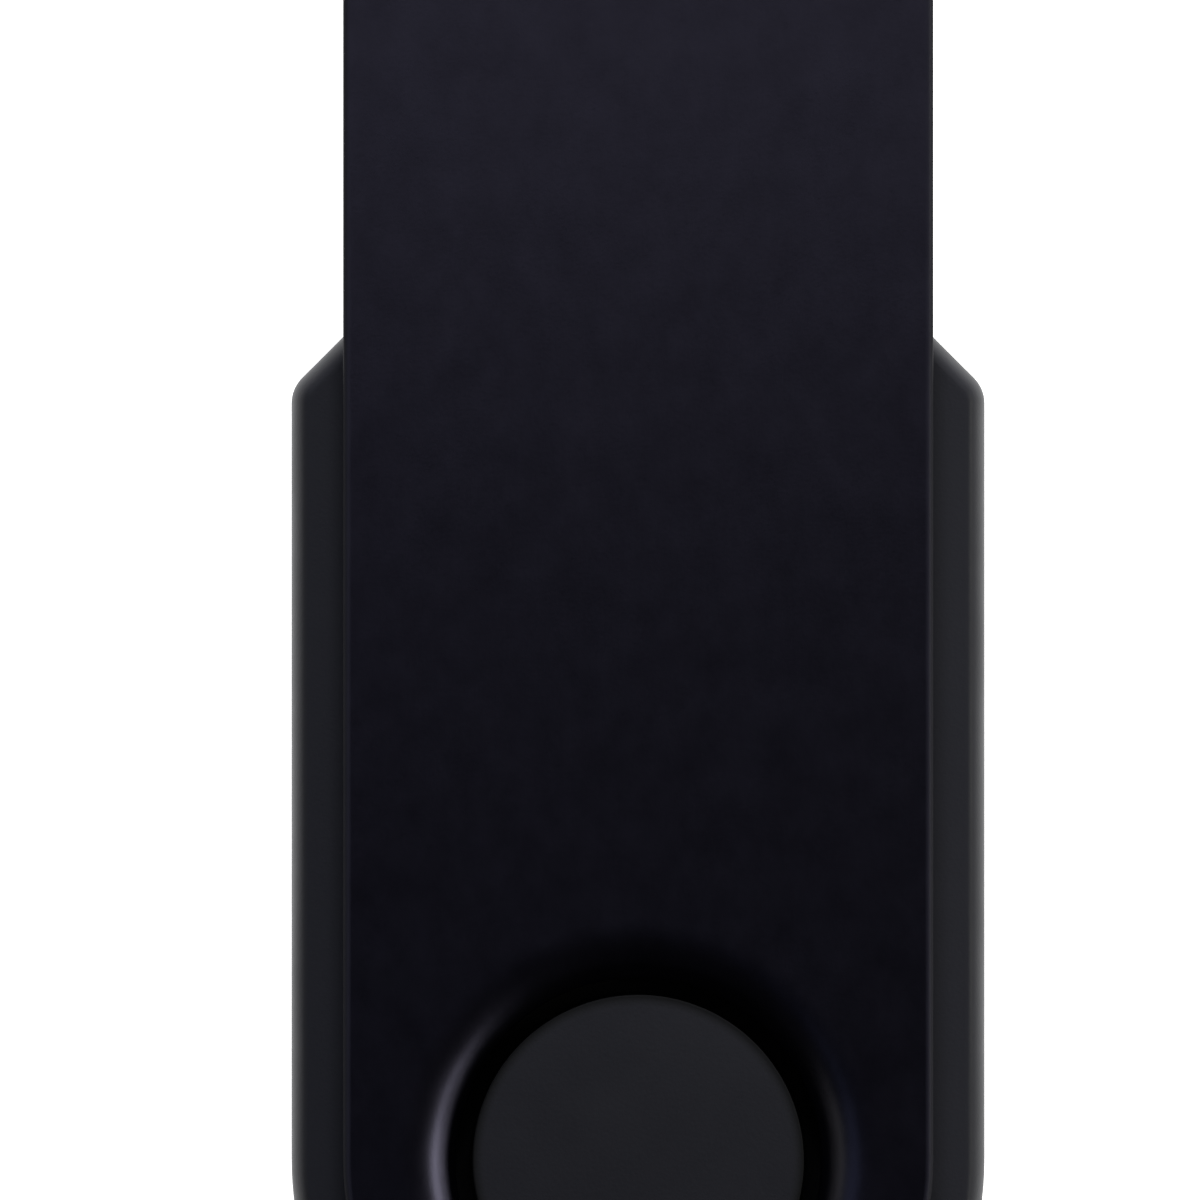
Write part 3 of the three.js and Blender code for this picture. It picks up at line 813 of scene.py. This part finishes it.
# ---------- pieces ----------
def show(piece, body, slot, material, *nodes):
    """Finishes a new piece: its material, its body and the CAD nodes it stands for. The slot
    argument is not used.
    """
    piece.data.materials.clear()
    piece.data.materials.append(material)
    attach(piece, body)
    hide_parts(*nodes)


def metal_ends(piece, node, metal, margins):
    """Gives the metal to the faces whose middle is within a margin of an end of the node's box."""
    low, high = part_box(node)
    piece.data.materials.append(metal)
    for polygon in piece.data.polygons:
        for axis, margin in margins.items():
            if not low[axis] + margin <= polygon.center[axis] <= high[axis] - margin:
                polygon.material_index = 1


def build_outside():
    plastic = case_plastic()
    steel = plated_steel()
    show(make_clip(), "clip", "clip_paint", clip_coating(), "swivel_clip")
    upper = make_shell("shell_upper", [pocket(POCKET_HALF, BOARD_SHOULDER, POCKET_DEPTH)], False)
    show(upper, "body", "case_plastic", plastic, "upper_shell")
    board_pocket = pocket(BOARD_POCKET_HALF, BOARD_SHOULDER, BOARD_DEPTH)
    chip_pocket = pocket(CHIP_POCKET_HALF, BOARD_SHOULDER - CUT_OVERLAP, POCKET_DEPTH)
    lower = make_shell("shell_lower", [board_pocket, chip_pocket], True)
    show(lower, "body", "case_plastic", plastic, "lower_shell")
    show(make_plug_shell(), "body", "plated_steel", steel, "plug_shell")
    tongue = fine_copy("plug_insulator", 0.08)
    show(tongue, "body", "insulator_plastic", insulator_plastic(), "plug_insulator")


def build_contacts():
    gold = contact_gold()
    for node in [n for n in frame["nodes"] if n.startswith("contact_")]:
        show(fine_copy(node, 0.04), "body", "contact_gold", gold, node)


def build_electronics():
    tin = speckled("tinned_ends", (0.55, 0.55, 0.54), (0.70, 0.70, 0.69), 0.05, 0.35, metallic=1.0)
    epoxy = speckled("chip_epoxy", (0.009, 0.009, 0.010), (0.020, 0.020, 0.021), 0.04, 0.55)
    ceramic = speckled("capacitor_ceramic", (0.24, 0.15, 0.08), (0.34, 0.22, 0.12), 0.05, 0.5)
    film = speckled("resistor_film", (0.010, 0.010, 0.011), (0.020, 0.020, 0.022), 0.06, 0.3)
    show(fine_copy("circuit_board", 0.05), "body", "board_laminate", solder_mask(), "circuit_board")
    lead_lengths = {"flash_memory_chip": (0.0, 0.85), "controller_chip": (1.05, 1.05)}
    for node, (across, along) in lead_lengths.items():
        chip = fine_copy(node, 0.03)
        show(chip, "body", "chip_epoxy", epoxy, node)
        metal_ends(chip, node, tin, {0: across * MM, 1: along * MM})
    end_share = 0.2
    for node in [n for n in frame["nodes"] if n.startswith(("capacitor_", "resistor_"))]:
        low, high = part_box(node)
        longest = 0 if high.x - low.x > high.y - low.y else 1
        is_capacitor = node.startswith("capacitor_")
        part = fine_copy(node, 0.03)
        slot = "capacitor_ceramic" if is_capacitor else "resistor_film"
        show(part, "body", slot, ceramic if is_capacitor else film, node)
        metal_ends(part, node, tin, {longest: (high[longest] - low[longest]) * end_share})
    can = speckled("crystal_can", (0.48, 0.48, 0.46), (0.60, 0.60, 0.58), 0.08, 0.3, metallic=1.0)
    show(fine_copy("crystal_oscillator", 0.12), "body", "crystal_can", can, "crystal_oscillator")
    resin = speckled("led_resin", (0.62, 0.60, 0.50), (0.74, 0.72, 0.64), 0.1, 0.25)
    show(fine_copy("activity_led", 0.05), "body", "led_resin", resin, "activity_led")


# ---------- stage, light and camera ----------
def make_floor():
    """A pale glowing table, as bright as a blown-out studio sweep, with a painted shadow where its
    glow is dimmer under the body.
    """
    size = 5.0
    glow = 1.3
    shaded_glow = 0.30
    fade = 0.6
    mesh = bpy.data.meshes.new("table_top")
    corners = [(-size, -size, 0), (size, -size, 0), (size, size, 0), (-size, size, 0)]
    mesh.from_pydata(corners, [], [(0, 1, 2, 3)])
    table = bpy.data.objects.new("table_top", mesh)
    bpy.context.scene.collection.objects.link(table)
    finish = Finish("pale_acrylic", specular=0.2)
    cloud = finish.noise(60.0, detail=2)
    finish.colour(finish.blend(cloud, (0.30, 0.30, 0.30), (0.34, 0.34, 0.34)))
    finish.roughness(finish.spread(cloud, 0.3, 0.7, 0.6, 0.7))
    # Painted shadow: the glow drops under the body's footprint, back to its shoulders.
    shoulder = PIVOT.y + SHOULDER_Y
    past_shoulder = finish.spread(finish.axis("Y"), shoulder, shoulder + fade)
    beside_body = finish.spread(finish.reach(), CLIP_HALF - 0.4, BODY_HALF - 0.1)
    open_share = finish.combine("MAXIMUM", beside_body, past_shoulder)
    strength = finish.spread(open_share, 0, 1, shaded_glow, glow)
    finish.shader.inputs["Emission Color"].default_value = (1, 1, 1, 1)
    finish.link(strength, finish.shader.inputs["Emission Strength"])
    mesh.materials.append(finish.material)


def area_light(name, place, target, size, power, colour=(1, 1, 1)):
    """A soft box at a place, facing a target, both in millimetres about the pivot."""
    data = bpy.data.lights.new(name, "AREA")
    data.shape = "RECTANGLE"
    data.size = size[0] * MM
    data.size_y = size[1] * MM
    data.energy = power
    data.color = colour
    light = bpy.data.objects.new(name, data)
    bpy.context.scene.collection.objects.link(light)
    light.location = to_frame(*place)
    direction = to_frame(*target) - light.location
    light.rotation_mode = "QUATERNION"
    light.rotation_quaternion = direction.to_track_quat("-Z", "Y")
    light.visible_camera = False


def make_lights():
    """One soft box overhead, one beyond the plug, two at the right and two dim ones at the left."""
    warm = (1.03, 1.03, 0.92)
    amber = (1.14, 1.16, 0.84)
    cool = (0.82, 0.97, 1.30)
    daylight = (0.96, 1.0, 1.08)
    area_light("key_over_plug", (0, 40, 80), (0, 20, 5), (90, 30), 0.0084)
    area_light("beyond_plug", (0, 300, 170), (0, 0, 5), (210, 110), 1.22, daylight)
    area_light("side_right", (130, 20, 78), (0, 20, 5), (90, 32), 0.116, warm)
    area_light("side_right_wide", (130, -8, 78), (0, -8, 5), (165, 32), 0.075, warm)
    area_light("side_left", (-130, 5, 78), (0, 5, 5), (100, 32), 0.0135, amber)
    area_light("high_left", (-90, 30, 150), (0, 0, 5), (110, 90), 0.018, cool)


def make_world():
    """A dim studio, paler towards the horizon and on the side that the plug points to."""
    horizon = (0.30, 0.30, 0.31, 1)
    ceiling = (0.030, 0.030, 0.034, 1)
    far_wall = (0.34, 0.34, 0.36, 1)
    ceiling_starts = 0.25
    wall_starts, wall_full = 0.30, 0.95
    world = bpy.data.worlds.new("studio")
    bpy.context.scene.world = world
    world.use_nodes = True
    tree = world.node_tree
    background = tree.nodes["Background"]
    coordinates = tree.nodes.new("ShaderNodeTexCoord")
    separate = tree.nodes.new("ShaderNodeSeparateXYZ")
    ramp = tree.nodes.new("ShaderNodeValToRGB")
    low, high = ramp.color_ramp.elements
    low.position = 0.0
    low.color = horizon
    high.position = ceiling_starts
    high.color = ceiling
    tree.links.new(coordinates.outputs["Generated"], separate.inputs["Vector"])
    tree.links.new(separate.outputs["Z"], ramp.inputs["Fac"])
    facing = tree.nodes.new("ShaderNodeMapRange")
    facing.inputs["From Min"].default_value = wall_starts
    facing.inputs["From Max"].default_value = wall_full
    tree.links.new(separate.outputs["Y"], facing.inputs["Value"])
    wall = tree.nodes.new("ShaderNodeMix")
    wall.data_type = "RGBA"
    wall.inputs[MIX_COLOUR_B].default_value = far_wall
    tree.links.new(facing.outputs["Result"], wall.inputs["Factor"])
    tree.links.new(ramp.outputs["Color"], wall.inputs[MIX_COLOUR_A])
    tree.links.new(wall.outputs[MIX_COLOUR_OUT], background.inputs["Color"])
    background.inputs["Strength"].default_value = 1.0


def make_camera():
    """Straight down with a long lens, on the boss and the body's shoulders."""
    distance = 1000.0
    span = 32.90
    centre = (-1.042, 15.30)
    data = bpy.data.cameras.new("camera")
    data.sensor_width = 36
    data.lens = data.sensor_width * distance / span
    data.clip_start = 0.05
    data.clip_end = 10
    camera = bpy.data.objects.new("camera", data)
    bpy.context.scene.collection.objects.link(camera)
    camera.location = to_frame(*centre, distance)
    bpy.context.scene.camera = camera


def set_view():
    scene = bpy.context.scene
    scene.view_settings.view_transform = "Standard"
    scene.view_settings.look = "None"
    scene.view_settings.exposure = 0
    scene.view_settings.gamma = 1


make_camera()
make_floor()
make_world()
make_lights()
set_view()
build_outside()
build_contacts()
build_electronics()
